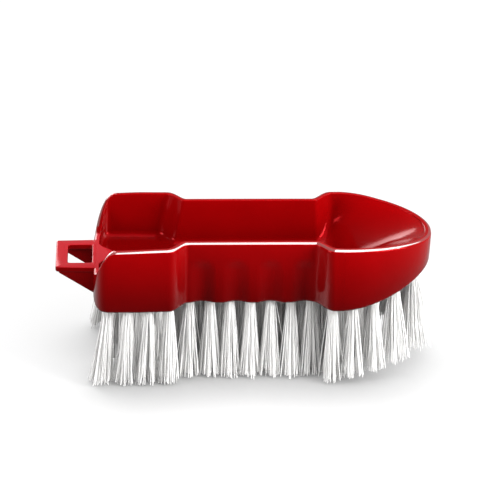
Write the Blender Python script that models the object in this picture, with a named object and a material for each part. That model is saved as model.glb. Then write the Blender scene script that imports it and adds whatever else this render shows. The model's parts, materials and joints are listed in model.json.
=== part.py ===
"""Laundry brush: one moulded body with a hanging loop, and its bristle tufts.

The body is an open tub with two wide lobes, a narrow waist with finger
scallops and a pointed nose. +X runs from the loop to the nose, +Z is up,
and the origin is under the middle of the brush on the surface it stands on.
"""
from math import cos, pi, sin, sqrt

import bmesh
import bpy
from mathutils import Vector

# Overall sizes of the moulded body
BODY_LENGTH = 0.1546
LOBE_WIDTH = 0.0628
WAIST_WIDTH = 0.047
BODY_HEIGHT = 0.0307
WALL = 0.0028
FLOOR = 0.0092
TUB_FILLET = 0.0012
EDGE_RADIUS = 0.0014
SIDE_BULGE = 0.0009
OVERRUN = 0.002

# Plan outline, measured along the body from its loop end
END_ROUNDING = 0.0095
END_POWER_SHARE = 3.8
WAIST_START = 0.0361
WAIST_END = 0.1076
WAIST_STEP = 0.0072
NECK_DEPTH = 0.0007
NECK_REACH = 0.018
NOSE_START = 0.1136
NOSE_BEND_SHARE = 1.4
NOSE_ROUND_SHARE = 0.46
NOSE_LEAN = 0.0008
STEP_SHIFT_SHARE = 0.5
NOSE_WALL_SHARE = 1.1

# Side profile of the rim and of the underside
DECK_OVER_FLOOR = 0.0054
DECK_PROUD = 0.0002
DECK_FLAT = 0.0006
END_RISE = 0.0105
END_RISE_POWER_SHARE = 2.4
RIM_CROWN = 0.0007
RIM_CROWN_REACH = 0.06
RIM_CROWN_POWER_SHARE = 4
NOSE_DROP = 0.0037
NOSE_DROP_START = 0.1136
NOSE_DROP_POWER_SHARE = 1.8
TOE_RISE = 0.0125
TOE_START = 0.1056
TOE_POWER_SHARE = 2.2
WAIST_LEAN = 0.0015

# Scoop where the tub's floor runs up to the nose
SCOOP_START = 0.1151
SCOOP_REACH = 0.012
SCOOP_POINT_SHARE = 0.3
SCOOP_POWER_SHARE = 1.3

# Finger scallops in the waist
SCALLOPS = 4
SCALLOP_FIRST = 0.0492
SCALLOP_PITCH = 0.01555
SCALLOP_WIDTH = 0.0115
SCALLOP_DEPTH = 0.0014
SCALLOP_TOP_GAP = 0.008

# Hanging loop and the deck that it runs into
LOOP_LENGTH = 0.017
LOOP_WIDTH = 0.0285
LOOP_TIP_WIDTH = 0.0272
LOOP_THICKNESS = 0.0024
LOOP_CORNER = 0.0015
LOOP_ROOT = 0.0015
LOOP_HOLE_LENGTH = 0.0112
LOOP_HOLE_WIDTH = 0.0178
LOOP_END_BAR = 0.0055
RIB_THICKNESS = 0.0024
RIB_FOOT = 0.0004
RIB_TIP = 0.0006
RIB_INSET = 0.0002
TONGUE_EDGE = 0.0038
TONGUE_REACH = 0.0104
TONGUE_HALF_WIDTH = 0.0115

# Bristle tufts, in rows along the underside
BRISTLE_LENGTH = 0.037
TUFT_COLUMNS = 16
INNER_COLUMNS = 13
TUFT_HOLE_RADIUS = 0.0023
TUFT_HOLE_COVER = 0.003
TUFT_CLEARANCE = 0.0003
TUFT_PROUD = 0.0004
TUFT_STRANDS = 8
TUFT_EDGE = 0.0046
TUFT_END_EDGE = 0.0032
TUFT_NOSE_EDGE = 0.0045
TUFT_FIRST = 0.0066
TUFT_LAST_EDGE = 0.0086
INNER_ROW_SHARE = 0.47
NOSE_TUFT_EDGE = 0.0075
STRAND_MARGIN = 0.0002
STRAND_TIP_SHARE = 0.6
FLARE = 0.0040
INNER_FLARE_SHARE = 0.5
LOOP_END_LEAN = 0.0044
NOSE_END_LEAN = 0.003
SIDE_LEAN = 0.0016
WAIST_SPLAY = 0.004
TIP_RISE = 0.0125
TIP_RISE_START = 0.1066
TIP_RISE_POWER_SHARE = 1.1

# Worked out from the sizes above
DECK_HEIGHT = FLOOR + DECK_OVER_FLOOR
DECK_DROP = BODY_HEIGHT - DECK_HEIGHT + DECK_PROUD
TUFT_HOLE_DEPTH = FLOOR - TUFT_HOLE_COVER
MIDDLE = (BODY_LENGTH - LOOP_LENGTH) / 2
HALF = 0.5

# Steps of the lofted outline in each of its stretches
END_STEPS = 7
LOBE_STEPS = 2
TURN_STEPS = 6
WAIST_STEPS = 36
NOSE_STEPS = 12
SIDE_LEVELS = 5
TUB_STEPS = 8
TUB_SPACING_SHARE = 1.4
TONGUE_STEPS = 12


def smooth(share):
    """Ease from 0 to 1 with level ends."""
    share = min(max(share, 0), 1)
    return share * share * (3 - 2 * share)


def waist_share(x, inset=0):
    """1 in the narrow waist and 0 in the lobes; an inner line turns in a little wider."""
    shift = inset * STEP_SHIFT_SHARE
    leaving = smooth((x - WAIST_START + shift) / WAIST_STEP)
    returning = smooth((WAIST_END + shift - x) / WAIST_STEP)
    return leaving * returning


def neck_share(x):
    """1 where a lobe meets the waist and 0 further off in the lobe."""
    away = max(WAIST_START - x, x - WAIST_END)
    return smooth(1 - away / NECK_REACH)


def half_width(x, inset=0, start=0, nose=BODY_LENGTH, depth_share=0):
    """Half the width of the plan outline, drawn in by inset; in the tub it closes in sooner lower down."""
    waist = waist_share(x, inset)
    narrowing = NECK_DEPTH * neck_share(x) * (1 - waist) + (LOBE_WIDTH - WAIST_WIDTH) / 2 * waist
    width = LOBE_WIDTH / 2 - inset - narrowing
    rounding = max(END_ROUNDING - start, inset)
    if x < start + rounding:
        along = max((x - start) / rounding, 0)
        width *= (1 - (1 - along) ** END_POWER_SHARE) ** (1 / END_POWER_SHARE)
    nose_start = NOSE_START - SCOOP_REACH * depth_share
    if x > nose_start:
        along = min((x - nose_start) / (nose - nose_start), 1)
        width *= (1 - along ** NOSE_BEND_SHARE) ** (NOSE_ROUND_SHARE + SCOOP_POINT_SHARE * depth_share)
    return width


def rim_height(x):
    """Height of the rim: low at the loop, full and a little crowned along the sides, lower at the nose."""
    rise = min(max((END_RISE - x) / (END_RISE - DECK_FLAT), 0), 1)
    fall = max((x - NOSE_DROP_START) / (BODY_LENGTH - NOSE_DROP_START), 0)
    from_middle = abs(x - (WAIST_START + WAIST_END) / 2) / RIM_CROWN_REACH
    crown = RIM_CROWN * max(1 - from_middle ** RIM_CROWN_POWER_SHARE, 0)
    dropped = DECK_DROP * rise ** END_RISE_POWER_SHARE + NOSE_DROP * fall ** NOSE_DROP_POWER_SHARE
    return BODY_HEIGHT + crown - dropped


def underside(x):
    """Height of the underside, flat but for the rise under the nose."""
    along = max((x - TOE_START) / (BODY_LENGTH - TOE_START), 0)
    return TOE_RISE * along ** TOE_POWER_SHARE


def stations(start=0, nose=BODY_LENGTH):
    """Places along the body, close together where the outline turns."""
    rounding = END_ROUNDING
    places = [start + (rounding - start) * (1 - cos(step / END_STEPS * pi / 2)) for step in range(END_STEPS)]
    stretches = (
        (rounding, WAIST_START - WALL, LOBE_STEPS),
        (WAIST_START - WALL, WAIST_START + WAIST_STEP, TURN_STEPS),
        (WAIST_START + WAIST_STEP, WAIST_END - WAIST_STEP, WAIST_STEPS),
        (WAIST_END - WAIST_STEP, NOSE_START, TURN_STEPS),
    )
    for low, high, steps in stretches:
        places += [low + (high - low) * step / steps for step in range(steps)]
    places += [
        NOSE_START + (nose - NOSE_START) * sin(step / NOSE_STEPS * pi / 2) for step in range(NOSE_STEPS + 1)
    ]
    return places


def ring(places, widths, heights):
    """One closed loop of points, along the front side to the nose and back along the other."""
    front = [Vector((x, -y, z)) for x, y, z in zip(places, widths, heights)]
    back = [Vector((x, y, z)) for x, y, z in zip(places, widths, heights)]
    return front + back[-2:0:-1]


def loft(rings):
    """A closed mesh over rings of points, lowest first, closed across at both ends."""
    mesh = bmesh.new()
    loops = [[mesh.verts.new(point) for point in points] for points in rings]
    count = len(rings[0])
    for low, high in zip(loops, loops[1:]):
        for here in range(count):
            after = (here + 1) % count
            mesh.faces.new((low[here], low[after], high[after], high[here]))
    for loop, upward in ((loops[0], False), (loops[-1], True)):
        for here in range(count // 2):
            corners = [loop[here], loop[here + 1], loop[-here - 1], loop[-here]]
            if here == 0:
                corners = [loop[0], loop[1], loop[-1]]
            if here == count // 2 - 1:
                corners = [loop[here], loop[here + 1], loop[-here]]
            mesh.faces.new(corners if upward else corners[::-1])
    return mesh


def to_object(name, mesh, collection):
    """Turn an edit mesh in body places into an object standing in the brush's frame."""
    data = bpy.data.meshes.new(name)
    mesh.to_mesh(data)
    mesh.free()
    thing = bpy.data.objects.new(name, data)
    collection.objects.link(thing)
    thing.location = (-MIDDLE, 0, BRISTLE_LENGTH)
    return thing


def as_helper(thing):
    thing.hide_render = True
    thing.display_type = 'WIRE'
    return thing


def boolean(target, other, operation):
    modifier = target.modifiers.new(other.name, 'BOOLEAN')
    modifier.object = other
    modifier.operation = operation
    modifier.solver = 'EXACT'


def scallop_depth(x, z):
    """How far a finger scallop draws the waist's side in, growing towards the bottom edge."""
    depth = 0
    for number in range(SCALLOPS):
        away = abs(x - SCALLOP_FIRST - number * SCALLOP_PITCH) / (SCALLOP_WIDTH / 2)
        if away < 1:
            arch = sqrt(1 - away * away)
            reach = (BODY_HEIGHT - SCALLOP_TOP_GAP) * (1 - (1 - arch) * HALF)
            depth += SCALLOP_DEPTH * arch * smooth((reach - z) / reach * 2)
    return depth


def body_ring(inset, height_share, edge_gap):
    """One level of the body's outside: a share of the way up, or a gap from the nearer edge."""
    outer = stations()
    places = []
    widths = []
    heights = []
    for x_outer, x in zip(outer, stations(inset, BODY_LENGTH - inset)):
        low = underside(x_outer)
        high = rim_height(x_outer)
        z = low + (high - low) * height_share
        z += edge_gap if height_share < HALF else -edge_gap
        lean = WAIST_LEAN * waist_share(x) * (1 - height_share)
        bulge = SIDE_BULGE * (1 - waist_share(x)) * 4 * height_share * (1 - height_share)
        width = half_width(x, inset, inset, BODY_LENGTH - inset)
        if width > 0:
            width += bulge - lean - scallop_depth(x, z)
        to_nose = max((x_outer - NOSE_START) / (BODY_LENGTH - NOSE_START), 0)
        places.append(x - NOSE_LEAN * to_nose * (1 - height_share))
        widths.append(width)
        heights.append(z)
    return ring(places, widths, heights)


def tub_ring(height_share):
    """One level of the tub: a share of the way from its rounded floor up to the rim."""
    inner_nose = BODY_LENGTH - WALL * NOSE_WALL_SHARE
    depth_share = 1 - height_share
    nose = inner_nose - (inner_nose - SCOOP_START) * depth_share ** (1 / SCOOP_POWER_SHARE)
    places = []
    widths = []
    heights = []
    for number, x_outer in enumerate(stations()):
        over_floor = (rim_height(x_outer) - FLOOR) * height_share
        low = max(TUB_FILLET - over_floor, 0)
        inset = WALL + TUB_FILLET - sqrt(TUB_FILLET * TUB_FILLET - low * low)
        x = stations(inset, nose)[number]
        places.append(x)
        widths.append(half_width(x, inset, inset, nose, depth_share))
        heights.append(FLOOR + over_floor)
    return ring(places, widths, heights)


def moulded_tub(collection):
    """The body without its deck and loop: up the outside, over the rim and down inside to the floor."""
    bevel_share = 1 - sqrt(HALF)
    soft = EDGE_RADIUS * bevel_share
    rings = [
        body_ring(EDGE_RADIUS, 0, 0),
        body_ring(soft, 0, soft),
        body_ring(0, 0, EDGE_RADIUS),
        *[body_ring(0, level / SIDE_LEVELS, 0) for level in range(1, SIDE_LEVELS)],
        body_ring(0, 1, EDGE_RADIUS),
        body_ring(soft, 1, soft),
        body_ring(EDGE_RADIUS, 1, 0),
        *[tub_ring((step / TUB_STEPS) ** TUB_SPACING_SHARE) for step in range(TUB_STEPS, -1, -1)],
    ]
    return to_object('brush_body', loft(rings), collection)


def plate(name, outline, low, high, collection):
    """A flat outline in plan, drawn up from one height to another."""
    mesh = bmesh.new()
    face = mesh.faces.new([mesh.verts.new((x, y, low)) for x, y in outline])
    if face.normal.z > 0:
        face.normal_flip()
    face.normal_update()
    grown = bmesh.ops.extrude_face_region(mesh, geom=[face])
    lifted = [item for item in grown['geom'] if isinstance(item, bmesh.types.BMVert)]
    bmesh.ops.translate(mesh, verts=lifted, vec=(0, 0, high - low))
    bmesh.ops.recalc_face_normals(mesh, faces=mesh.faces)
    return to_object(name, mesh, collection)


def rounded_corners(corners, radius, steps=3):
    """The outline's corners, each turned into a short arc."""
    outline = []
    for index, corner in enumerate(corners):
        here = Vector(corner)
        before = (Vector(corners[index - 1]) - here).normalized()
        after = (Vector(corners[(index + 1) % len(corners)]) - here).normalized()
        start = here + before * radius
        end = here + after * radius
        for step in range(steps + 1):
            share = step / steps
            bend = (1 - share) ** 2 * start + 2 * share * (1 - share) * here + share ** 2 * end
            outline.append(tuple(bend))
    return outline


def tongue(collection):
    """The deck's rounded end inside the tub, down to the floor."""
    reach = TONGUE_REACH - TONGUE_EDGE
    outline = [(WALL - LOOP_ROOT, TONGUE_HALF_WIDTH), (WALL - LOOP_ROOT, -TONGUE_HALF_WIDTH)]
    for step in range(TONGUE_STEPS + 1):
        y = TONGUE_HALF_WIDTH * (2 * step / TONGUE_STEPS - 1)
        outline.append((TONGUE_EDGE + reach * cos(y / TONGUE_HALF_WIDTH * pi / 2) ** 2, y))
    return as_helper(plate('tongue', outline, FLOOR - LOOP_ROOT, DECK_HEIGHT, collection))


def loop_plate(collection):
    """The flat plate of the hanging loop, its root sunk in the body's end."""
    tip = LOOP_TIP_WIDTH / 2
    root = LOOP_WIDTH / 2
    corners = [(-LOOP_LENGTH, -tip), (LOOP_ROOT, -root), (LOOP_ROOT, root), (-LOOP_LENGTH, tip)]
    outline = rounded_corners(corners, LOOP_CORNER)
    low = DECK_HEIGHT - LOOP_THICKNESS
    return as_helper(plate('loop_plate', outline, low, DECK_HEIGHT, collection))


def loop_rib(name, side, collection):
    """A triangular rib under one side of the loop."""
    mesh = bmesh.new()
    top = DECK_HEIGHT - LOOP_THICKNESS * HALF
    tip = -LOOP_LENGTH + LOOP_CORNER
    outline = [
        (tip, top),
        (tip, DECK_HEIGHT - LOOP_THICKNESS - RIB_TIP),
        (LOOP_ROOT, RIB_FOOT),
        (LOOP_ROOT, top),
    ]
    outer = (LOOP_TIP_WIDTH / 2 - RIB_INSET) * side
    face = mesh.faces.new([mesh.verts.new((x, outer, z)) for x, z in outline])
    grown = bmesh.ops.extrude_face_region(mesh, geom=[face])
    lifted = [item for item in grown['geom'] if isinstance(item, bmesh.types.BMVert)]
    bmesh.ops.translate(mesh, verts=lifted, vec=(0, -RIB_THICKNESS * side, 0))
    bmesh.ops.recalc_face_normals(mesh, faces=mesh.faces)
    return as_helper(to_object(name, mesh, collection))


def loop_hole(collection):
    """The hole that a hook goes through."""
    low = -LOOP_LENGTH + LOOP_END_BAR
    high = low + LOOP_HOLE_LENGTH
    side = LOOP_HOLE_WIDTH / 2
    outline = rounded_corners([(low, -side), (high, -side), (high, side), (low, side)], LOOP_CORNER)
    bottom = DECK_HEIGHT - LOOP_THICKNESS - OVERRUN
    return as_helper(plate('loop_hole', outline, bottom, DECK_HEIGHT + OVERRUN, collection))


def row_width(x):
    """Half the distance between the two outer rows of tufts, clear of the scallops."""
    nose = BODY_LENGTH - TUFT_NOSE_EDGE
    drawn_in = (WAIST_LEAN + SCALLOP_DEPTH) * waist_share(x, TUFT_EDGE)
    return half_width(x, TUFT_EDGE, TUFT_END_EDGE, nose) - drawn_in


def tuft_places():
    """Name and place of every tuft: an outer row and a staggered inner row on each side."""
    last = BODY_LENGTH - TUFT_LAST_EDGE
    pitch = (last - TUFT_FIRST) / (TUFT_COLUMNS - 1)
    places = []
    for side, side_name in ((-1, 'front'), (1, 'back')):
        for number in range(TUFT_COLUMNS):
            x = TUFT_FIRST + number * pitch
            y = row_width(x) * side
            places.append((f'{side_name}_tuft_{number + 1:02d}', x, y))
        for number in range(INNER_COLUMNS):
            x = TUFT_FIRST + (number + HALF) * pitch
            y = row_width(x) * side * INNER_ROW_SHARE
            places.append((f'{side_name}_inner_tuft_{number + 1:02d}', x, y))
    places.append(('nose_tuft', BODY_LENGTH - NOSE_TUFT_EDGE, 0))
    return places


def tuft_holes(places, collection):
    """The blind holes that hold the tufts."""
    mesh = bmesh.new()
    height = TUFT_HOLE_DEPTH + OVERRUN
    for name, x, y in places:
        made = bmesh.ops.create_cone(
            mesh,
            cap_ends=True,
            segments=TUFT_STRANDS,
            radius1=TUFT_HOLE_RADIUS,
            radius2=TUFT_HOLE_RADIUS,
            depth=height,
        )
        middle = underside(x) - OVERRUN + height / 2
        bmesh.ops.translate(mesh, verts=made['verts'], vec=(x, y, middle))
    return as_helper(to_object('tuft_holes', mesh, collection))


def tip_height(x):
    """Height of the bristle tips, which rise under the nose more than the underside does."""
    along = max((x - TIP_RISE_START) / (BODY_LENGTH - TIP_RISE_START), 0)
    return TIP_RISE * along ** TIP_RISE_POWER_SHARE - BRISTLE_LENGTH


def tip_lean(x, y):
    """How far a tuft's tips stand out from its root: towards the ends, the sides and out of the waist."""
    along = 2 * x / BODY_LENGTH - 1
    across = y / (LOBE_WIDTH / 2)
    end_lean = NOSE_END_LEAN if along > 0 else LOOP_END_LEAN
    row_share = y / row_width(x)
    return Vector((end_lean * along ** 3, SIDE_LEAN * across + WAIST_SPLAY * waist_share(x) * row_share, 0))


def tuft(name, x, y, material, collection):
    """A root that fills its hole, with strands that fan out below it."""
    mesh = bmesh.new()
    radius = TUFT_HOLE_RADIUS - TUFT_CLEARANCE
    low = -TUFT_PROUD
    high = TUFT_HOLE_DEPTH - TUFT_CLEARANCE
    bmesh.ops.create_cone(
        mesh,
        cap_ends=True,
        segments=TUFT_STRANDS,
        radius1=radius,
        radius2=radius,
        depth=high - low,
    )
    bmesh.ops.translate(mesh, verts=mesh.verts, vec=(0, 0, (high + low) / 2))
    bottom = min(mesh.faces, key=lambda face: face.calc_center_median().z)
    wedges = bmesh.ops.poke(mesh, faces=[bottom])['faces']
    bmesh.ops.inset_individual(mesh, faces=wedges, thickness=STRAND_MARGIN)
    strands = bmesh.ops.extrude_discrete_faces(mesh, faces=wedges)['faces']

    tip_drop = tip_height(x) - underside(x)
    lean = tip_lean(x, y)
    for number, strand in enumerate(sorted(strands, key=face_turn)):
        middle = strand.calc_center_median()
        outward = Vector((middle.x, middle.y, 0)).normalized()
        flare = FLARE if number % 2 else FLARE * INNER_FLARE_SHARE
        tip = outward * flare + lean
        for corner in strand.verts:
            offset = (corner.co - middle) * STRAND_TIP_SHARE
            corner.co = Vector((tip.x + offset.x, tip.y + offset.y, tip_drop))
    thing = to_object(name, mesh, collection)
    thing.location += Vector((x, y, underside(x)))
    thing.data.materials.append(material)
    return thing


def face_turn(face):
    """Order faces by their turn about the tuft's axis."""
    middle = face.calc_center_median()
    return Vector((1, 0)).angle_signed(Vector((middle.x, middle.y)))


def plastic(name, colour, roughness):
    material = bpy.data.materials.new(name)
    material.use_nodes = True
    shader = material.node_tree.nodes['Principled BSDF']
    shader.inputs['Base Color'].default_value = colour
    shader.inputs['Roughness'].default_value = roughness
    shader.inputs['Metallic'].default_value = 0
    return material


for old in list(bpy.data.objects):
    bpy.data.objects.remove(old)

brush = bpy.data.collections.new('laundry_brush')
helpers = bpy.data.collections.new('brush_helpers')
bpy.context.scene.collection.children.link(brush)
bpy.context.scene.collection.children.link(helpers)

body = moulded_tub(brush)
body.data.materials.append(plastic('red_plastic', (0.42, 0.004, 0.006, 1), 0.2))
places = tuft_places()
boolean(body, tongue(helpers), 'UNION')
boolean(body, loop_plate(helpers), 'UNION')
boolean(body, loop_rib('front_rib', -1, helpers), 'UNION')
boolean(body, loop_rib('back_rib', 1, helpers), 'UNION')
boolean(body, loop_hole(helpers), 'DIFFERENCE')
boolean(body, tuft_holes(places, helpers), 'DIFFERENCE')

bristle = plastic('white_bristle', (0.85, 0.85, 0.84, 1), 0.45)
for name, x, y in places:
    tuft(name, x, y, bristle, brush)
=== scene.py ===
"""Laundry brush, dressed for a picture: a glossy red moulding over white bristle tufts."""
import json
from math import cos, pi, radians, sin, sqrt

import bmesh
import bpy
import numpy as np
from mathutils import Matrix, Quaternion, Vector

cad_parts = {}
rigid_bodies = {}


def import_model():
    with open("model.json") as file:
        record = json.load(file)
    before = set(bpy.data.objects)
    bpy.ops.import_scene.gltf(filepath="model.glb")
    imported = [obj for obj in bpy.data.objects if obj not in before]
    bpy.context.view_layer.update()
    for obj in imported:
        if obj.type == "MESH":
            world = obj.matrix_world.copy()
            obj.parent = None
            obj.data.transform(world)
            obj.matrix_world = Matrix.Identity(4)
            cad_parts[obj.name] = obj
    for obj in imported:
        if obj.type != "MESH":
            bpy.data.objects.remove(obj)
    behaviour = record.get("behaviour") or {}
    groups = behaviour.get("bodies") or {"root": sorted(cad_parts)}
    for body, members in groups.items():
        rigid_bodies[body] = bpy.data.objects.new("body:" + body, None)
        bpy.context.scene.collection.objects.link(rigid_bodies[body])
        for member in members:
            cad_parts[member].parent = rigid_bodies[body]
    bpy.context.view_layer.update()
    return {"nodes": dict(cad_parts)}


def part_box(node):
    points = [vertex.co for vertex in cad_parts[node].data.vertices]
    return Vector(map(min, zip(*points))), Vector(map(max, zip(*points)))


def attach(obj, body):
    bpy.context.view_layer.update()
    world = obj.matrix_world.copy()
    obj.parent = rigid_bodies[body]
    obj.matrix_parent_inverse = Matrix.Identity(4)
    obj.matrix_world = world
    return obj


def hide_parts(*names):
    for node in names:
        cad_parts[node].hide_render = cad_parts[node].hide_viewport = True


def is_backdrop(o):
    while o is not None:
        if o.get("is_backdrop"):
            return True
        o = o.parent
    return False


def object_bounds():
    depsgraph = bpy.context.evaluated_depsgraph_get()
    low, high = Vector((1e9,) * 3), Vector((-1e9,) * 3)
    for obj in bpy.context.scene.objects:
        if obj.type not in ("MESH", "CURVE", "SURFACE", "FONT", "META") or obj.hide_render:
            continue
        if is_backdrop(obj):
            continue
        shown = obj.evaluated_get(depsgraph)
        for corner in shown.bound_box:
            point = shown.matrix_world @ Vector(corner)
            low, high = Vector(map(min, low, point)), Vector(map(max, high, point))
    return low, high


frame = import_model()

bpy.context.scene.view_settings.view_transform = "Standard"


# The moulded body.
# It is one injection moulding in glossy red plastic: an open tub with rounded rims, a waist with
# finger scallops, a scooped nose and a deck at the loop end. Here one sheet of faces wraps it all.
body_low, body_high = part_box("brush_body")
LOOP_REACH = 0.017
BODY_START = body_low.x + LOOP_REACH
BODY_LENGTH = body_high.x - BODY_START
RIM_CLEAR = 0.002
RIM_CROWN = 0.0007
RIM_CROWN_REACH = 0.06
RIM_CROWN_POWER = 4
BODY_HEIGHT = body_high.z - body_low.z - RIM_CROWN
LOBE_WIDTH = 0.0628
WAIST_WIDTH = 0.047
WALL = 0.0028
FLOOR = 0.0092
TUB_FILLET = 0.003
OUTER_EDGE = 0.0014
INNER_EDGE = 0.0004
SIDE_BULGE = 0.0009
END_ROUNDING = 0.0095
END_POWER = 3.8
WAIST_START = 0.0361
WAIST_END = 0.1076
WAIST_STEP = 0.0072
NECK_DEPTH = 0.0007
NECK_REACH = 0.018
WAIST_LEAN = 0.0015
STEP_SHIFT = 0.5
STEP_TAIL = 0.0022
STEP_BEND = 1.25
START_DRAFT = 0.004
END_DRAFT = 0.001
NOSE_START = 0.1136
NOSE_BEND = 1.4
NOSE_POWER = 0.46
NOSE_LEAN = 0.0008
NOSE_WALL = 0.0031
NOSE_DROP = 0.0037
NOSE_DROP_START = 0.1136
NOSE_DROP_POWER = 1.8
DECK_DROP = 0.0161
DECK_FLAT = 0.0006
END_RISE = 0.0105
END_RISE_POWER = 2.4
TOE_RISE = 0.0125
TOE_START = 0.1056
TOE_POWER = 2.2
SCOOP_START = 0.1151
SCOOP_REACH = 0.012
SCOOP_POINT = 0.3
SCOOP_POWER = 1.3
TONGUE_REACH = 0.0076
TONGUE_HALF = 0.0115
SCALLOPS = 4
SCALLOP_FIRST = 0.0496
SCALLOP_PITCH = 0.0155
SCALLOP_RADIUS = 0.0066
SCALLOP_TOP = 0.0070
SCALLOP_DEPTH = 0.0018
SCALLOP_TOP_SHARE = 0.35
STEP_MARGIN = 3 * WALL
END_POINTS, LOBE_POINTS, STEP_POINTS = 45, 10, 37
WAIST_POINTS, RETURN_POINTS, NOSE_POINTS = 121, 31, 61
BOTTOM_SHARES = (0, 0.3, 0.6, 0.85)
RIM_SHARES = (0.33, 0.66, 1)
FLOOR_SHARES = (0.75, 0.5, 0.25, 0)
EDGE_STEPS, OUTER_STEPS, RIM_STEPS, TUB_STEPS = 4, 24, 8, 40
TUB_STEP_POWER = 1.4
POLISH_FROM = 3
MERGE_REACH = 0.000002


def ease(share):
    """A smooth step from 0 to 1."""
    share = np.clip(share, 0, 1)
    return share * share * (3 - 2 * share)


def waist(x, inset, depth=0):
    """1 in the waist and 0 in the lobes; the tub's waist is a little longer at its floor."""
    shift = inset * STEP_SHIFT
    into = x - WAIST_START + shift + START_DRAFT * depth
    out_of = WAIST_END + shift + END_DRAFT * depth - x
    leaving, returning = (
        ease(np.clip((reach + STEP_TAIL) / (WAIST_STEP + STEP_TAIL), 0, 1) ** STEP_BEND)
        for reach in (into, out_of)
    )
    return leaving * returning


def plan_line(inset, nose, depth=0):
    """Places and half widths of one side, from the middle of the loop end to the nose's tip."""
    turn = np.sin(np.linspace(0, pi / 2, END_POINTS)[:-1])
    end_bend = 1 - (1 - turn ** END_POWER) ** (1 / END_POWER)
    middle_x = np.concatenate([
        np.linspace(END_ROUNDING, WAIST_START - STEP_MARGIN, LOBE_POINTS)[:-1],
        np.linspace(WAIST_START - STEP_MARGIN, WAIST_START + WAIST_STEP, STEP_POINTS)[:-1],
        np.linspace(WAIST_START + WAIST_STEP, WAIST_END - WAIST_STEP, WAIST_POINTS)[:-1],
        np.linspace(WAIST_END - WAIST_STEP, NOSE_START, RETURN_POINTS)[:-1],
    ])
    along = np.sin(np.linspace(0, pi / 2, NOSE_POINTS))
    count = len(turn) + len(middle_x) + len(along)
    inset = np.broadcast_to(inset, count)
    wide = LOBE_WIDTH / 2 - inset
    x = np.concatenate([
        inset[:len(turn)] + (END_ROUNDING - inset[:len(turn)]) * end_bend,
        middle_x,
        NOSE_START + (nose - NOSE_START) * along,
    ])
    in_waist = waist(x, inset, depth)
    neck = ease(1 - np.maximum(WAIST_START - x, x - WAIST_END) / NECK_REACH)
    wide = wide - NECK_DEPTH * neck * (1 - in_waist)
    y = wide - (LOBE_WIDTH - WAIST_WIDTH) / 2 * in_waist
    y[:len(turn)] = wide[:len(turn)] * turn
    begin = NOSE_START - SCOOP_REACH * depth
    to_nose = np.clip((x - begin) / (nose - begin), 0, 1)
    return x, y * (1 - to_nose ** NOSE_BEND) ** (NOSE_POWER + SCOOP_POINT * depth)


def rim(x):
    """Height of the rim: low at the loop, full and a little crowned along the sides, lower at
    the nose."""
    rise = np.clip((END_RISE - x) / (END_RISE - DECK_FLAT), 0, 1)
    fall = np.clip((x - NOSE_DROP_START) / (BODY_LENGTH - NOSE_DROP_START), 0, 1)
    from_middle = np.abs(x - (WAIST_START + WAIST_END) / 2) / RIM_CROWN_REACH
    crown = RIM_CROWN * np.clip(1 - from_middle ** RIM_CROWN_POWER, 0, 1)
    at_loop = DECK_DROP * rise ** END_RISE_POWER
    at_nose = NOSE_DROP * fall ** NOSE_DROP_POWER
    return BODY_HEIGHT + crown - at_loop - at_nose


def underside(x):
    """Height of the bottom edge, which lifts towards the nose."""
    along = np.clip((x - TOE_START) / (BODY_LENGTH - TOE_START), 0, 1)
    return TOE_RISE * along ** TOE_POWER


def scallops(x, z):
    """Depth of the finger scallops: round-topped, and deepest at the bottom edge."""
    top = BODY_HEIGHT - SCALLOP_TOP
    middle = top - SCALLOP_RADIUS
    depth = np.zeros_like(x)
    for number in range(SCALLOPS):
        across = x - SCALLOP_FIRST - number * SCALLOP_PITCH
        away = np.hypot(across, np.clip(z - middle, 0, None))
        grown = SCALLOP_TOP_SHARE + (1 - SCALLOP_TOP_SHARE) * np.clip(1 - z / top, 0, 1)
        depth += SCALLOP_DEPTH * grown * np.clip(1 - (away / SCALLOP_RADIUS) ** 2, 0, 1) ** 2
    return depth


outer_x, outer_y = plan_line(0, BODY_LENGTH)
top_z = rim(outer_x)
bottom_z = underside(outer_x)
bump = TONGUE_REACH * np.cos(np.clip(outer_y / TONGUE_HALF, 0, 1) * pi / 2) ** 2
bump[outer_x > END_ROUNDING] = 0
rows = []


def outside_row(inset, z):
    """One row of points round the outside, drawn in by the scallops and the waist's lean."""
    x, y = plan_line(inset, BODY_LENGTH - inset)
    up = np.clip((z - bottom_z) / (top_z - bottom_z), 0, 1)
    in_waist = waist(x, inset)
    bulge = SIDE_BULGE * (1 - in_waist) * 4 * up * (1 - up)
    drawn_in = WAIST_LEAN * in_waist * (1 - up) + scallops(x, z) - bulge
    to_nose = np.clip((outer_x - NOSE_START) / (BODY_LENGTH - NOSE_START), 0, 1)
    rows.append((x - NOSE_LEAN * to_nose * (1 - up), y - drawn_in * (y > 0), z))


# Underside, from its middle line to the bottom edge
edge_x, edge_y = plan_line(OUTER_EDGE, BODY_LENGTH - OUTER_EDGE)
drawn_in = WAIST_LEAN * waist(edge_x, OUTER_EDGE) + scallops(edge_x, bottom_z)
edge_y = edge_y - drawn_in * (edge_y > 0)
for share in BOTTOM_SHARES:
    rows.append((edge_x, edge_y * share, bottom_z))
for turn in np.linspace(0, pi / 2, EDGE_STEPS + 1):
    outside_row(OUTER_EDGE * (1 - sin(turn)), bottom_z + OUTER_EDGE * (1 - cos(turn)))
# Outer wall, a little bulged, and the round outer edge of the rim
for share in np.linspace(0, 1, OUTER_STEPS + 1)[1:-1]:
    outside_row(0, bottom_z + OUTER_EDGE + (top_z - bottom_z - 2 * OUTER_EDGE) * share)
edge_start = len(rows)
for turn in np.linspace(0, pi / 2, RIM_STEPS + 1):
    outside_row(OUTER_EDGE * (1 - cos(turn)), top_z - OUTER_EDGE * (1 - sin(turn)))
edge_end = len(rows) - 1
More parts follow.
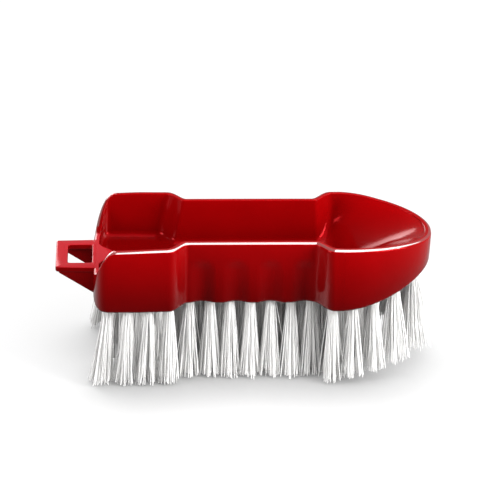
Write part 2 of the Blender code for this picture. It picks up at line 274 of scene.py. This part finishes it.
# Rim, which widens into the deck's tongue at the loop end, and its inner edge
inner_nose = BODY_LENGTH - NOSE_WALL
for share in RIM_SHARES:
    inset = OUTER_EDGE + (WALL - INNER_EDGE - OUTER_EDGE) * share
    nose = BODY_LENGTH - OUTER_EDGE - (NOSE_WALL - INNER_EDGE - OUTER_EDGE) * share
    x, y = plan_line(inset, nose)
    rows.append((x + bump * share, y, top_z))
for turn in np.linspace(0, pi / 2, EDGE_STEPS + 1)[1:]:
    inset = WALL - INNER_EDGE * (1 - sin(turn))
    x, y = plan_line(inset, inner_nose + INNER_EDGE * (1 - sin(turn)))
    rows.append((x + bump, y, top_z - INNER_EDGE * (1 - cos(turn))))
# Inside of the tub, with the scoop that runs up to the nose, down to its floor's rounded corner
for share in np.linspace(1, 0, TUB_STEPS + 1)[1:] ** TUB_STEP_POWER:
    z = FLOOR + (top_z - INNER_EDGE - FLOOR) * share
    low = np.clip(TUB_FILLET - (z - FLOOR), 0, TUB_FILLET)
    fillet = TUB_FILLET - np.sqrt(TUB_FILLET ** 2 - low ** 2)
    nose = inner_nose - (inner_nose - SCOOP_START) * (1 - share) ** (1 / SCOOP_POWER)
    x, y = plan_line(WALL + fillet, nose, 1 - share)
    rows.append((x + bump, y, z))
x, y, z = rows[-1]
for share in FLOOR_SHARES:
    rows.append((x, y * share, z))

# Each row is mirrored to the back, and the rows become one sheet, closed where its points meet
places = []
for x, y, z in rows:
    front = np.stack([x, -y, z], axis=1)
    back = np.stack([x, y, z], axis=1)[-2::-1]
    places.append(np.concatenate([front, back]))
places = np.array(places)
places[:, :, 0] += BODY_START
places[:, :, 2] += body_low.z
row_count, ring_count, _ = places.shape

bpy.ops.object.select_all(action="DESELECT")
bpy.ops.mesh.primitive_grid_add(x_subdivisions=ring_count - 1, y_subdivisions=row_count - 1, size=1)
body = bpy.context.object
body.name = "moulded_body"
body.data.vertices.foreach_set("co", places.reshape(-1).astype(np.float32))
# The rim's outer rounding gets the second material wherever it stands clear of the deck
finish = np.zeros((row_count - 1, ring_count - 1), dtype=np.int32)
stands = top_z > BODY_HEIGHT - DECK_DROP + RIM_CLEAR
finish[edge_start + POLISH_FROM:edge_end] = np.concatenate([stands, stands[-2::-1]])[1:]
body.data.polygons.foreach_set("material_index", finish.reshape(-1))
bpy.ops.object.mode_set(mode="EDIT")
bpy.ops.mesh.select_all(action="SELECT")
bpy.ops.mesh.remove_doubles(threshold=MERGE_REACH)
bpy.ops.mesh.dissolve_degenerate(threshold=MERGE_REACH)
bpy.ops.mesh.normals_make_consistent(inside=False)
bpy.ops.object.mode_set(mode="OBJECT")


# The hanging loop, and the finish of the whole moulding.
# The loop is part of the same moulding: a flat plate with a rounded square hole, level with the
# deck, on two triangular ribs. Its top and the deck, where they face up, get a paler red of the
# same gloss: painted light from above.
LOOP_THICKNESS = 0.0024
LOOP_WIDTH = 0.0285
LOOP_TIP_WIDTH = 0.0272
LOOP_ROOT = 0.0015
LOOP_CORNER = 0.0015
LOOP_END_BAR = 0.0055
LOOP_HOLE_LENGTH = 0.0112
LOOP_HOLE_WIDTH = 0.0178
LOOP_CORNER_STEPS = 5
LOOP_SOFT = 0.0004
LOOP_SOFT_STEPS = 3
LOOP_SOFT_ANGLE = radians(50)
RIB_THICKNESS = 0.0024
RIB_FOOT = 0.0004
RIB_TIP = 0.0006
RIB_SOFT_STEPS = 2
SMOOTH_ANGLE = radians(32)
DECK_BAND = 0.0012
DECK_REACH = 0.025
LEVEL = 0.9
GLOSSY_DARK, GLOSSY_LIGHT = (0.085, 0.0002, 0.0004, 1), (0.24, 0.0005, 0.0011, 1)
# Painted light: the paler red that up-facing faces near the deck take
TOP_LIT_DARK, TOP_LIT_LIGHT = (0.26, 0.008, 0.012, 1), (0.37, 0.014, 0.02, 1)
MIRRORED_RED = (1, 0.02, 0.03, 1)
SMOOTHEST, ROUGHEST = 0.10, 0.17
MOTTLE_SCALE, MOTTLE_DETAIL, MOTTLE_SHARE = 60, 4, 0.3
# Painted shade and painted light: how much darker the red is at the foot and lighter at the rim
PAINTED_SHADE_AT_FOOT, PAINTED_LIGHT_AT_RIM = -0.15, 0.75
RIPPLE_SCALE, RIPPLE_STRENGTH, RIPPLE_HEIGHT = 240, 0.03, 0.0003
deck_z = body_low.z + BODY_HEIGHT - DECK_DROP

loop_low = body_low.x
loop_high = BODY_START + LOOP_ROOT
loop_middle = ((loop_low + loop_high) / 2, 0, deck_z - LOOP_THICKNESS / 2)
bpy.ops.mesh.primitive_cube_add(size=1, location=loop_middle)
loop = bpy.context.object
loop.name = "loop_plate"
loop.scale = (loop_high - loop_low, LOOP_WIDTH, LOOP_THICKNESS)
bpy.ops.object.transform_apply(location=True, rotation=False, scale=True)
bpy.ops.object.mode_set(mode="EDIT")
bpy.ops.mesh.select_all(action="DESELECT")
shape = bmesh.from_edit_mesh(loop.data)
for face in shape.faces:
    face.select = abs(face.normal.z) > LEVEL
bpy.ops.mesh.inset(thickness=LOOP_CORNER)
shape = bmesh.from_edit_mesh(loop.data)
hole_low = loop_low + LOOP_END_BAR
for face in [face for face in shape.faces if face.select]:
    middle = face.calc_center_median()
    for corner in face.verts:
        corner.co.x = hole_low if corner.co.x < middle.x else hole_low + LOOP_HOLE_LENGTH
        corner.co.y = LOOP_HOLE_WIDTH / 2 if corner.co.y > 0 else -LOOP_HOLE_WIDTH / 2
for corner in shape.verts:
    if corner.co.x < loop_low + LOOP_SOFT:
        corner.co.y *= LOOP_TIP_WIDTH / LOOP_WIDTH
bpy.ops.mesh.bridge_edge_loops()
bpy.ops.mesh.select_all(action="DESELECT")
shape = bmesh.from_edit_mesh(loop.data)
for edge in shape.edges:
    ends = edge.verts
    upright = abs(ends[0].co.z - ends[1].co.z) > LOOP_THICKNESS / 2
    edge.select = upright and ends[0].co.x < BODY_START
bpy.ops.mesh.bevel(offset=LOOP_CORNER, segments=LOOP_CORNER_STEPS, affect="EDGES")
bpy.ops.object.mode_set(mode="OBJECT")
soften = loop.modifiers.new("Soft edges", "BEVEL")
soften.width = LOOP_SOFT
soften.segments = LOOP_SOFT_STEPS
soften.limit_method = "ANGLE"
soften.angle_limit = LOOP_SOFT_ANGLE
bpy.ops.object.modifier_apply(modifier=soften.name)

# The two ribs: cubes whose outer lower edge is raised to the plate, which makes them triangles
ribs = []
for side in (-1, 1):
    outer = side * (LOOP_TIP_WIDTH / 2 - LOOP_SOFT / 2)
    bpy.ops.object.select_all(action="DESELECT")
    bpy.ops.mesh.primitive_cube_add(size=1)
    rib = bpy.context.object
    rib.name = "loop_rib"
    rib_top = deck_z - LOOP_THICKNESS / 2
    rib.scale = (loop_high - loop_low - LOOP_CORNER, RIB_THICKNESS, rib_top - body_low.z - RIB_FOOT)
    rib.location = (
        (loop_high + loop_low + LOOP_CORNER) / 2,
        outer - side * RIB_THICKNESS / 2,
        (rib_top + body_low.z + RIB_FOOT) / 2,
    )
    bpy.ops.object.transform_apply(location=True, rotation=False, scale=True)
    bpy.ops.object.mode_set(mode="EDIT")
    shape = bmesh.from_edit_mesh(rib.data)
    for corner in shape.verts:
        if corner.co.x < BODY_START and corner.co.z < rib_top - LOOP_SOFT:
            corner.co.z = deck_z - LOOP_THICKNESS - RIB_TIP
    bmesh.update_edit_mesh(rib.data)
    bpy.ops.object.mode_set(mode="OBJECT")
    soften = rib.modifiers.new("Soft edges", "BEVEL")
    soften.width = LOOP_SOFT
    soften.segments = RIB_SOFT_STEPS
    bpy.ops.object.modifier_apply(modifier=soften.name)
    ribs.append(rib)

for piece in [loop] + ribs:
    bpy.ops.object.select_all(action="DESELECT")
    bpy.context.view_layer.objects.active = body
    body.select_set(True)
    union = body.modifiers.new("Moulded in one", "BOOLEAN")
    union.operation = "UNION"
    union.solver = "EXACT"
    union.object = piece
    bpy.ops.object.modifier_apply(modifier=union.name)
    bpy.data.objects.remove(piece)
bpy.ops.object.shade_smooth_by_angle(angle=SMOOTH_ANGLE)

# Glossy red, mottled like moulded plastic, with painted shade: the colour is darker towards its
# foot and lighter towards the rim, standing in for how the light falls
red = bpy.data.materials.new("Glossy red moulding")
red.use_nodes = True
nodes = red.node_tree.nodes
links = red.node_tree.links
shader = nodes["Principled BSDF"]
shader.inputs["IOR"].default_value = 1.42
shader.inputs["Specular Tint"].default_value = MIRRORED_RED
place = nodes.new("ShaderNodeTexCoord")
mottle = nodes.new("ShaderNodeTexNoise")
mottle.inputs["Scale"].default_value = MOTTLE_SCALE
mottle.inputs["Detail"].default_value = MOTTLE_DETAIL
# Painted shade: the red is mixed darker low on the body and lighter near the rim, by height
height = nodes.new("ShaderNodeSeparateXYZ")
painted_shading_by_height = nodes.new("ShaderNodeMapRange")
painted_shading_by_height.inputs["From Min"].default_value = body_low.z
painted_shading_by_height.inputs["From Max"].default_value = body_high.z
painted_shading_by_height.inputs["To Min"].default_value = PAINTED_SHADE_AT_FOOT
painted_shading_by_height.inputs["To Max"].default_value = PAINTED_LIGHT_AT_RIM
shade = nodes.new("ShaderNodeMath")
shade.operation = "MULTIPLY_ADD"
shade.inputs[1].default_value = MOTTLE_SHARE
tint = nodes.new("ShaderNodeValToRGB")
tint.color_ramp.elements[0].color = GLOSSY_DARK
tint.color_ramp.elements[1].color = GLOSSY_LIGHT
links.new(place.outputs["Object"], mottle.inputs["Vector"])
links.new(place.outputs["Object"], height.inputs["Vector"])
links.new(height.outputs["Z"], painted_shading_by_height.inputs["Value"])
links.new(mottle.outputs["Fac"], shade.inputs[0])
links.new(painted_shading_by_height.outputs["Result"], shade.inputs[2])
links.new(shade.outputs["Value"], tint.inputs["Fac"])
links.new(tint.outputs["Color"], shader.inputs["Base Color"])
polish = nodes.new("ShaderNodeMapRange")
polish.inputs["To Min"].default_value = SMOOTHEST
polish.inputs["To Max"].default_value = ROUGHEST
links.new(mottle.outputs["Fac"], polish.inputs["Value"])
links.new(polish.outputs["Result"], shader.inputs["Roughness"])
ripple = nodes.new("ShaderNodeTexNoise")
ripple.inputs["Scale"].default_value = RIPPLE_SCALE
wavy = nodes.new("ShaderNodeBump")
wavy.inputs["Strength"].default_value = RIPPLE_STRENGTH
wavy.inputs["Distance"].default_value = RIPPLE_HEIGHT
links.new(place.outputs["Object"], ripple.inputs["Vector"])
links.new(ripple.outputs["Fac"], wavy.inputs["Height"])
links.new(wavy.outputs["Normal"], shader.inputs["Normal"])
# The same plastic with a harder shine, for the rim's outer rounding
polished = red.copy()
polished.name = "Polished red edge"
shader = polished.node_tree.nodes["Principled BSDF"]
shader.inputs["Coat Weight"].default_value = 1
shader.inputs["Coat IOR"].default_value = 3.6
shader.inputs["Coat Roughness"].default_value = 0.1
# A paler red for the up-facing faces of the deck, its tongue and the loop's top: painted light from
# above, with the red's own roughness
top_lit_red = red.copy()
top_lit_red.name = "Red deck with painted top light"
top_lit_ramp = top_lit_red.node_tree.nodes["Color Ramp"].color_ramp
top_lit_ramp.elements[0].color = TOP_LIT_DARK
top_lit_ramp.elements[1].color = TOP_LIT_LIGHT
for plastic in (red, polished, top_lit_red):
    body.data.materials.append(plastic)
top_lit_place = body.data.materials.find(top_lit_red.name)
# Painted light: faces that look up at the deck's height, near the loop end, take the paler red
for face in body.data.polygons:
    level = face.normal.z > LEVEL and abs(face.center.z - deck_z) < DECK_BAND
    if level and face.center.x < BODY_START + DECK_REACH:
        face.material_index = top_lit_place
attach(body, "root")
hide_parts("brush_body")


# The bristle tufts.
# Each is a bunch of stiff white nylon filaments, folded in two over a wire anchor and pressed into
# its hole in the underside. They fan out below the hole, and their cut ends gather into points.
FILAMENTS = 110
FILAMENT_RADIUS = 0.00018
FILAMENT_STEPS = 6
ROOT_RADIUS = 0.0019
ROOT_SUNK = 0.001
FAN_RADIUS = 0.0058
FAN_BEND = 1.15
GATHERINGS = 8
GATHER = 0.7
END_SCATTER = 0.0004
LENGTH_SCATTER = 0.0013
LOWEST_END = 0.0003
BOW = 0.0003
STRAY_SHARE = 0.04
STRAY_REACH = 1.3
NOSE_FROM = 0.128
NOSE_FAN = 1.4
SIDE_REACH = 0.033
GOLDEN_TURN = pi * (3 - sqrt(5))
NYLON_DARK, NYLON_LIGHT = (0.74, 0.73, 0.715, 1), (0.88, 0.88, 0.875, 1)
STREAK_SCALE = 700
SHINIEST, DULLEST = 0.3, 0.45

nylon = bpy.data.materials.new("White nylon filament")
nylon.use_nodes = True
nodes = nylon.node_tree.nodes
links = nylon.node_tree.links
shader = nodes["Principled BSDF"]
place = nodes.new("ShaderNodeTexCoord")
streak = nodes.new("ShaderNodeTexNoise")
streak.inputs["Scale"].default_value = STREAK_SCALE
tint = nodes.new("ShaderNodeValToRGB")
tint.color_ramp.elements[0].color = NYLON_DARK
tint.color_ramp.elements[1].color = NYLON_LIGHT
links.new(place.outputs["Object"], streak.inputs["Vector"])
links.new(streak.outputs["Fac"], tint.inputs["Fac"])
links.new(tint.outputs["Color"], shader.inputs["Base Color"])
gloss = nodes.new("ShaderNodeMapRange")
gloss.inputs["To Min"].default_value = SHINIEST
gloss.inputs["To Max"].default_value = DULLEST
links.new(streak.outputs["Fac"], gloss.inputs["Value"])
links.new(gloss.outputs["Result"], shader.inputs["Roughness"])


def filament_paths(rng, root, end_middle):
    """Points along every filament of one tuft, from its hole to its cut end. The nose's tufts fan
    widest, and none reaches far past the body's sides."""
    fuller = NOSE_FAN if root[0] > BODY_START + NOSE_FROM else 1
    turn = np.arange(FILAMENTS) * GOLDEN_TURN + rng.uniform(0, 2 * pi)
    reach = np.sqrt((np.arange(FILAMENTS) + 0.5) / FILAMENTS)
    around = np.stack([np.cos(turn), np.sin(turn)], axis=1) * reach[:, None]
    start = around * ROOT_RADIUS * fuller
    end = around * FAN_RADIUS * fuller
    gather_turn = rng.uniform(0, 2 * pi, GATHERINGS)
    gather_reach = np.sqrt(rng.uniform(0, 1, GATHERINGS)) * FAN_RADIUS * fuller
    gathered = np.stack([np.cos(gather_turn), np.sin(gather_turn)], axis=1)
    gathered *= gather_reach[:, None]
    nearest = np.argmin(np.linalg.norm(end[:, None] - gathered[None], axis=2), axis=1)
    end += (gathered[nearest] - end) * GATHER * rng.uniform(0, 1, (FILAMENTS, 1))
    end += rng.normal(0, END_SCATTER, (FILAMENTS, 2))
    end[rng.uniform(0, 1, FILAMENTS) < STRAY_SHARE] *= STRAY_REACH
    bow = rng.normal(0, BOW, (FILAMENTS, 2))
    end_z = end_middle[2] + LOWEST_END + np.abs(rng.normal(0, LENGTH_SCATTER, FILAMENTS))
    along = np.linspace(0, 1, FILAMENT_STEPS + 1)
    lean = np.array(end_middle[:2]) - np.array(root[:2])
    flat = start[:, None] + (end + lean - start)[:, None] * along[None, :, None] ** FAN_BEND
    flat += bow[:, None] * np.sin(along * pi)[None, :, None]
    path = np.empty((FILAMENTS, FILAMENT_STEPS + 1, 3))
    path[:, :, :2] = flat + np.array(root[:2])
    path[:, :, 1] = np.clip(path[:, :, 1], -SIDE_REACH, SIDE_REACH)
    path[:, :, 2] = root[2] + (end_z - root[2])[:, None] * along[None]
    return path


# Each bunch starts at its solid's hole and ends over the middle of its solid's tips
tuft_names = sorted(name for name in frame["nodes"] if "tuft" in name)
for number, name in enumerate(tuft_names):
    solid = np.array([point.co for point in bpy.data.objects[name].data.vertices])
    plug = solid[solid[:, 2] > solid[:, 2].max() - LOWEST_END]
    ends = solid[solid[:, 2] < solid[:, 2].min() + LOWEST_END]
    root = plug.mean(axis=0)
    root[2] = body_low.z + underside(root[0] - BODY_START) + ROOT_SUNK
    bunch = bpy.data.curves.new("bristle_" + name, "CURVE")
    bunch.dimensions = "3D"
    bunch.bevel_depth = FILAMENT_RADIUS
    bunch.bevel_resolution = 0
    bunch.use_fill_caps = True
    for path in filament_paths(np.random.default_rng(number), root, ends.mean(axis=0)):
        filament = bunch.splines.new("POLY")
        filament.points.add(len(path) - 1)
        weighted = np.pad(path, ((0, 0), (0, 1)))
        filament.points.foreach_set("co", weighted.reshape(-1).astype(np.float32))
    tuft = bpy.data.objects.new("bristle_" + name, bunch)
    bpy.context.scene.collection.objects.link(tuft)
    bpy.ops.object.select_all(action="DESELECT")
    bpy.context.view_layer.objects.active = tuft
    tuft.select_set(True)
    bpy.ops.object.convert(target="MESH")
    bpy.ops.object.shade_smooth()
    tuft.data.materials.append(nylon)
    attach(tuft, "root")
    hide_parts(name)


# The floor, of a plain white studio.
# It glows white to the camera, and ambient occlusion dims the glow near the brush: a painted shadow
# around the bristles' tips, added to the lamps' own shadow. The occlusion is looked for upwards and
# to the back.
FLOOR_SIZE = 6
FLOOR_GREY = (0.18, 0.18, 0.18, 1)
FLOOR_ROUGHNESS = 0.9
SHADOW_REACH = 0.037
SHADOW_LEAN = (-0.2, 0.68, 0.7)
FLOOR_GLOW = 0.71
MIRRORED_SHARE = 0.2
bpy.ops.object.select_all(action="DESELECT")
bpy.ops.mesh.primitive_plane_add(size=FLOOR_SIZE)
floor = bpy.context.object
floor.name = "studio_floor"
white = bpy.data.materials.new("White studio floor")
white.use_nodes = True
nodes = white.node_tree.nodes
links = white.node_tree.links
shader = nodes["Principled BSDF"]
shader.inputs["Base Color"].default_value = FLOOR_GREY
shader.inputs["Roughness"].default_value = FLOOR_ROUGHNESS
shader.inputs["Specular IOR Level"].default_value = 0
shader.inputs["Emission Color"].default_value = (1, 1, 1, 1)
ray = nodes.new("ShaderNodeLightPath")
# Painted shadow: the floor's glow fades where the brush stands near
ao_painted_shadow = nodes.new("ShaderNodeAmbientOcclusion")
ao_painted_shadow.inputs["Distance"].default_value = SHADOW_REACH
leaning = nodes.new("ShaderNodeCombineXYZ")
for axis, share in zip("XYZ", SHADOW_LEAN):
    leaning.inputs[axis].default_value = share
links.new(leaning.outputs["Vector"], ao_painted_shadow.inputs["Normal"])
lift = nodes.new("ShaderNodeMath")
lift.operation = "MULTIPLY"
lift.inputs[1].default_value = FLOOR_GLOW
links.new(ao_painted_shadow.outputs["AO"], lift.inputs[0])
shown = ray.outputs["Is Camera Ray"]
for kind in ("Is Glossy Ray", "Is Transmission Ray"):
    mirrored = nodes.new("ShaderNodeMath")
    mirrored.operation = "MULTIPLY_ADD"
    mirrored.inputs[1].default_value = MIRRORED_SHARE
    links.new(ray.outputs[kind], mirrored.inputs[0])
    links.new(shown, mirrored.inputs[2])
    shown = mirrored.outputs["Value"]
glow = nodes.new("ShaderNodeMath")
glow.operation = "MULTIPLY"
links.new(lift.outputs["Value"], glow.inputs[0])
links.new(shown, glow.inputs[1])
links.new(glow.outputs["Value"], shader.inputs["Emission Strength"])
floor.data.materials.append(white)
floor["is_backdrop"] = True


# The light: a dim white room, a large soft lamp overhead, a faint one in front, a small one at each
# side and one behind the loop end, which the scoop mirrors.
ROOM_MIRRORED, ROOM_LIGHT = 0.3, 0.19
AIM = Vector((0.0030, 0, 0.0532))
room = bpy.data.worlds.new("White room")
bpy.context.scene.world = room
room.use_nodes = True
nodes = room.node_tree.nodes
links = room.node_tree.links
glow = nodes["Background"]
glow.inputs["Color"].default_value = (1, 1, 1, 1)
ray = nodes.new("ShaderNodeLightPath")
brightness = nodes.new("ShaderNodeMapRange")
brightness.inputs["To Min"].default_value = ROOM_MIRRORED
brightness.inputs["To Max"].default_value = ROOM_LIGHT
links.new(ray.outputs["Is Diffuse Ray"], brightness.inputs["Value"])
links.new(brightness.outputs["Result"], glow.inputs["Strength"])

for name, width, depth, power, place in (
    ("overhead_softbox", 1.8, 1.2, 24, Vector((0.4, -0.1, 1.05))),
    ("front_softbox", 0.8, 0.6, 2, Vector((0.3, -0.9, 0.9))),
    ("right_softbox", 0.5, 0.5, 22, Vector((0.95, -0.5, 0.45))),
    ("left_softbox", 0.5, 0.5, 11, Vector((-1, -0.35, 0.3))),
    ("back_softbox", 0.9, 0.8, 13, Vector((-0.66, 1.1, 0.45))),
):
    lamp = bpy.data.lights.new(name, "AREA")
    lamp.shape = "RECTANGLE"
    lamp.size = width
    lamp.size_y = depth
    lamp.energy = power
    softbox = bpy.data.objects.new(name, lamp)
    softbox.location = place
    softbox.rotation_euler = (AIM - place).to_track_quat("-Z", "Y").to_euler()
    bpy.context.scene.collection.objects.link(softbox)


# The camera: a long lens from about 27 degrees above, square on but for a slight turn.
CAMERA_HEIGHT_ANGLE = radians(27)
CAMERA_TURN = radians(2)
CAMERA_DISTANCE = 1.6
CAMERA_ROLL = radians(0.75)
LENS = 251.6
SENSOR_WIDTH = 36
camera = bpy.data.objects.new("camera", bpy.data.cameras.new("camera"))
camera.data.lens = LENS
camera.data.sensor_width = SENSOR_WIDTH
away = Vector((
    -sin(CAMERA_TURN) * cos(CAMERA_HEIGHT_ANGLE),
    -cos(CAMERA_TURN) * cos(CAMERA_HEIGHT_ANGLE),
    sin(CAMERA_HEIGHT_ANGLE),
))
camera.location = AIM + away * CAMERA_DISTANCE
turn = (-away).to_track_quat("-Z", "Y") @ Quaternion((0, 0, 1), CAMERA_ROLL)
camera.rotation_euler = turn.to_euler()
bpy.context.scene.collection.objects.link(camera)
bpy.context.scene.camera = camera

low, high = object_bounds()
